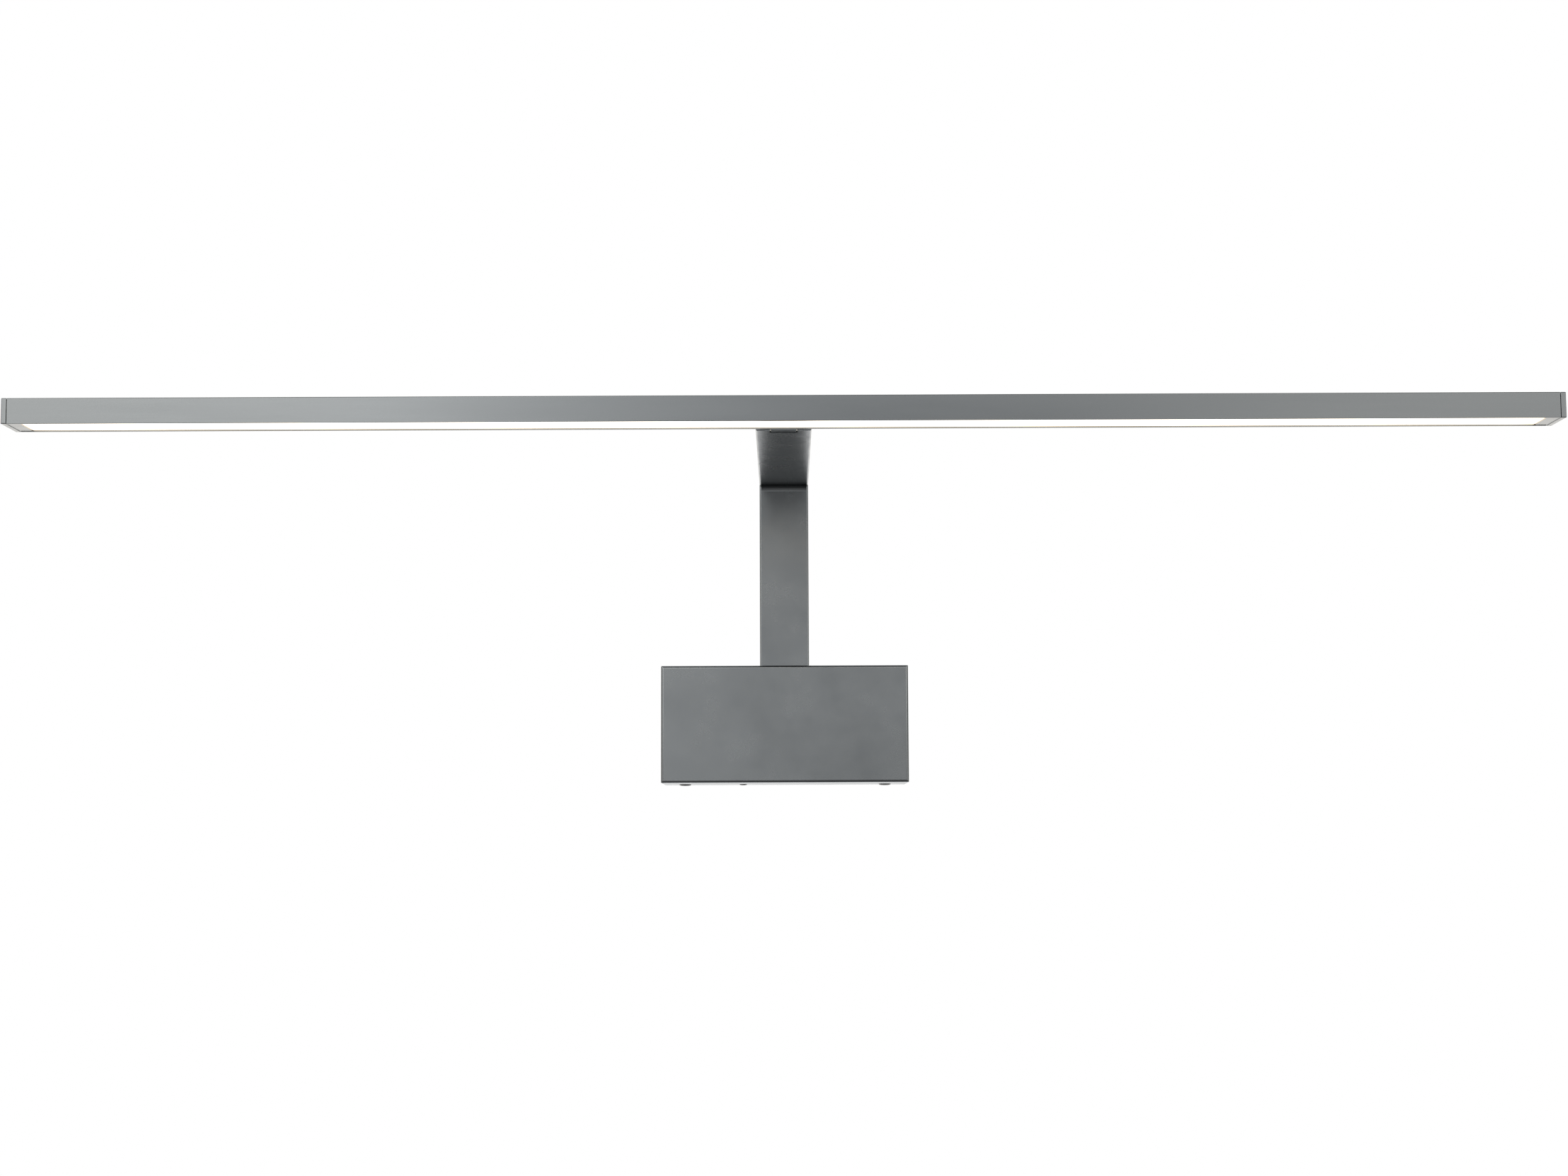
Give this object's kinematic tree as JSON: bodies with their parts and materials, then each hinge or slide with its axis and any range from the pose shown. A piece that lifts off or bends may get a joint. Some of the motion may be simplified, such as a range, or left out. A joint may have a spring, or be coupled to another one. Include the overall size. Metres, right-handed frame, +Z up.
{
  "type": "picture light",
  "caption": "Wall-mounted picture light: a slim lit bar on an L-shaped arm from a small wall box; the bar tilts about its long axis.",
  "frame": {"origin": "centre of the wall plate's back face, which lies on the wall, at the middle of the wall box", "axes": "+Y into the wall, +X along the bar to the right as seen from the room, +Z up"},
  "size_m": [0.6, 0.209, 0.1447],
  "materials": {
    "graphite_steel": "satin metallic graphite powder coat over steel",
    "graphite_aluminium": "satin metallic graphite coat over extruded aluminium",
    "zinc_steel": "satin bright zinc plate",
    "black_screw": "satin black oxide steel",
    "bare_aluminium": "satin machined aluminium",
    "opal_acrylic": "matte opal acrylic, lit warm white from behind",
    "white_board": "white solder mask over an aluminium core",
    "white_plastic": "matte white nylon",
    "white_lead": "white insulated low-voltage lead",
    "brown_lead": "brown insulation",
    "blue_lead": "blue insulation",
    "green_lead": "green and yellow insulation",
    "circuit_board": "green circuit board with its parts",
    "black_plastic": "matte black moulded plastic",
    "black_rubber": "matte black rubber",
    "nylon": "natural nylon",
    "foam_tape": "matte grey double-sided tape"
  },
  "bodies": {
    "base": {"arm_bracket": "zinc_steel", "arm_forward": "graphite_steel", "arm_grommet": "black_rubber", "arm_nut_plate": "zinc_steel", "arm_screw_lower": "zinc_steel", "arm_screw_upper": "zinc_steel", "arm_upright": "graphite_steel", "box_cover": "graphite_steel", "bracket_screw_lower": "zinc_steel", "bracket_screw_upper": "zinc_steel", "cable_entry_bush": "black_rubber", "cover_bond_screw": "black_screw", "cover_screw_left": "black_screw", "cover_screw_right": "black_screw", "driver_board": "circuit_board", "driver_case": "black_plastic", "driver_lid": "black_plastic", "driver_tape": "foam_tape", "earth_lead": "green_lead", "earth_ring": "zinc_steel", "earth_screw": "zinc_steel", "fork_insert": "bare_aluminium", "friction_washer_left": "nylon", "friction_washer_right": "nylon", "led_lead": "white_lead", "live_lead": "brown_lead", "neutral_lead": "blue_lead", "pivot_screw_left": "black_screw", "pivot_screw_right": "black_screw", "terminal_block": "white_plastic", "terminal_block_screw": "zinc_steel", "wall_plate": "graphite_steel"},
    "head": {"diffuser": "opal_acrylic", "end_cap_left": "graphite_aluminium", "end_cap_right": "graphite_aluminium", "end_cap_screw_left": "black_screw", "end_cap_screw_right": "black_screw", "feed_connector": "white_plastic", "head_housing": "graphite_aluminium", "head_lead": "white_lead", "led_board_left": "white_board", "led_board_right": "white_board", "thermal_tape": "foam_tape", "tilt_bracket": "graphite_steel", "tilt_bracket_screw_left": "black_screw", "tilt_bracket_screw_right": "black_screw"}
  },
  "joints": [
    {"name": "head_tilt", "type": "hinge", "parent": "base", "child": "head", "pos_m": [0, -0.183, 0.113], "axis": [1, 0, 0], "range_deg": [-30, 60]}
  ]
}
